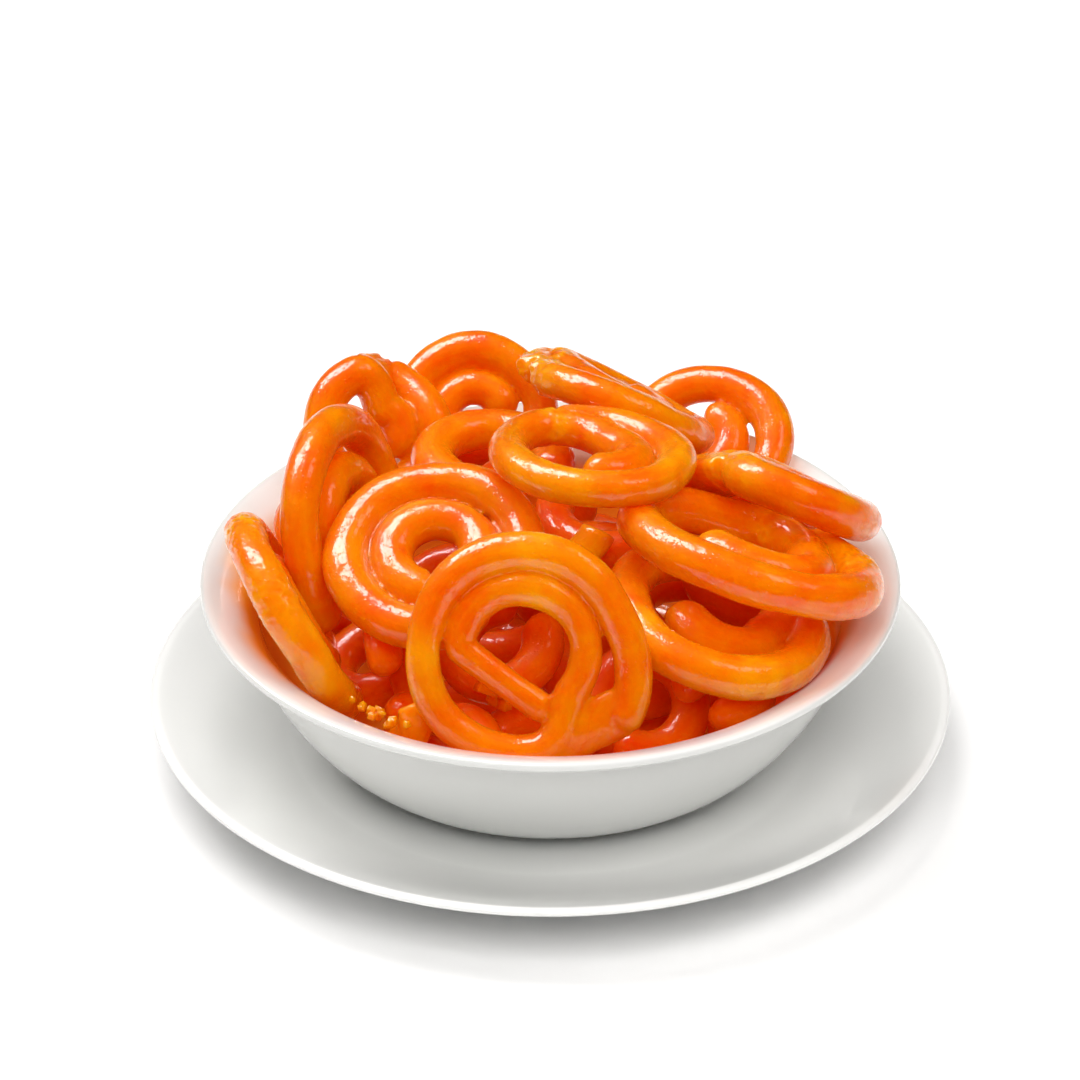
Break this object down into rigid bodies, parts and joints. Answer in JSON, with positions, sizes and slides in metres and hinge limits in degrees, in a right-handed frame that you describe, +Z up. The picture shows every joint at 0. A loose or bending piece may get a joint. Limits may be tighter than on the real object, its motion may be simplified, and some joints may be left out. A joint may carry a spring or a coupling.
{
  "type": "bowl of jalebi",
  "caption": "Syrup-soaked jalebi, coiled strands of fried batter, heaped in a white porcelain bowl that stands on its matching underplate.",
  "frame": {"origin": "middle of the plate's foot ring, on the surface that it stands on", "axes": "+Z up, -Y towards the front of the heap, +X to the right"},
  "size_m": [0.1846, 0.1846, 0.0874],
  "materials": {
    "porcelain": "glossy white glaze",
    "syrupy_crust": "translucent orange fried batter, wet with sugar syrup",
    "soaked_crust": "deep orange fried batter soaked in sugar syrup"
  },
  "bodies": {
    "root": {"plate": "porcelain", "bowl": "porcelain", "front_jalebi": "syrupy_crust", "left_middle_jalebi": "syrupy_crust", "left_tall_jalebi": "syrupy_crust", "upper_left_jalebi": "syrupy_crust", "back_top_jalebi": "syrupy_crust", "back_flat_jalebi": "syrupy_crust", "top_leaning_jalebi": "syrupy_crust", "centre_flat_jalebi": "syrupy_crust", "right_back_jalebi": "syrupy_crust", "right_tilted_jalebi": "syrupy_crust", "right_large_jalebi": "syrupy_crust", "right_front_jalebi": "syrupy_crust", "left_wall_jalebi": "syrupy_crust", "small_front_jalebi": "soaked_crust", "small_right_jalebi": "soaked_crust", "middle_low_jalebi": "soaked_crust", "left_low_jalebi": "soaked_crust", "middle_flat_jalebi": "soaked_crust", "left_back_jalebi": "soaked_crust", "small_back_jalebi": "soaked_crust", "broken_left_piece": "soaked_crust", "broken_middle_piece": "soaked_crust", "base_back_jalebi": "soaked_crust", "base_left_jalebi": "soaked_crust", "base_right_jalebi": "soaked_crust", "lower_right_jalebi": "soaked_crust", "lower_back_left_jalebi": "soaked_crust", "lower_front_jalebi": "soaked_crust", "lower_back_jalebi": "soaked_crust", "inner_right_jalebi": "soaked_crust", "inner_middle_jalebi": "soaked_crust", "lower_left_jalebi": "soaked_crust", "low_front_left_jalebi": "soaked_crust", "low_front_right_jalebi": "soaked_crust", "under_centre_jalebi": "soaked_crust", "inner_left_jalebi": "soaked_crust", "inner_back_jalebi": "soaked_crust"}
  },
  "joints": []
}
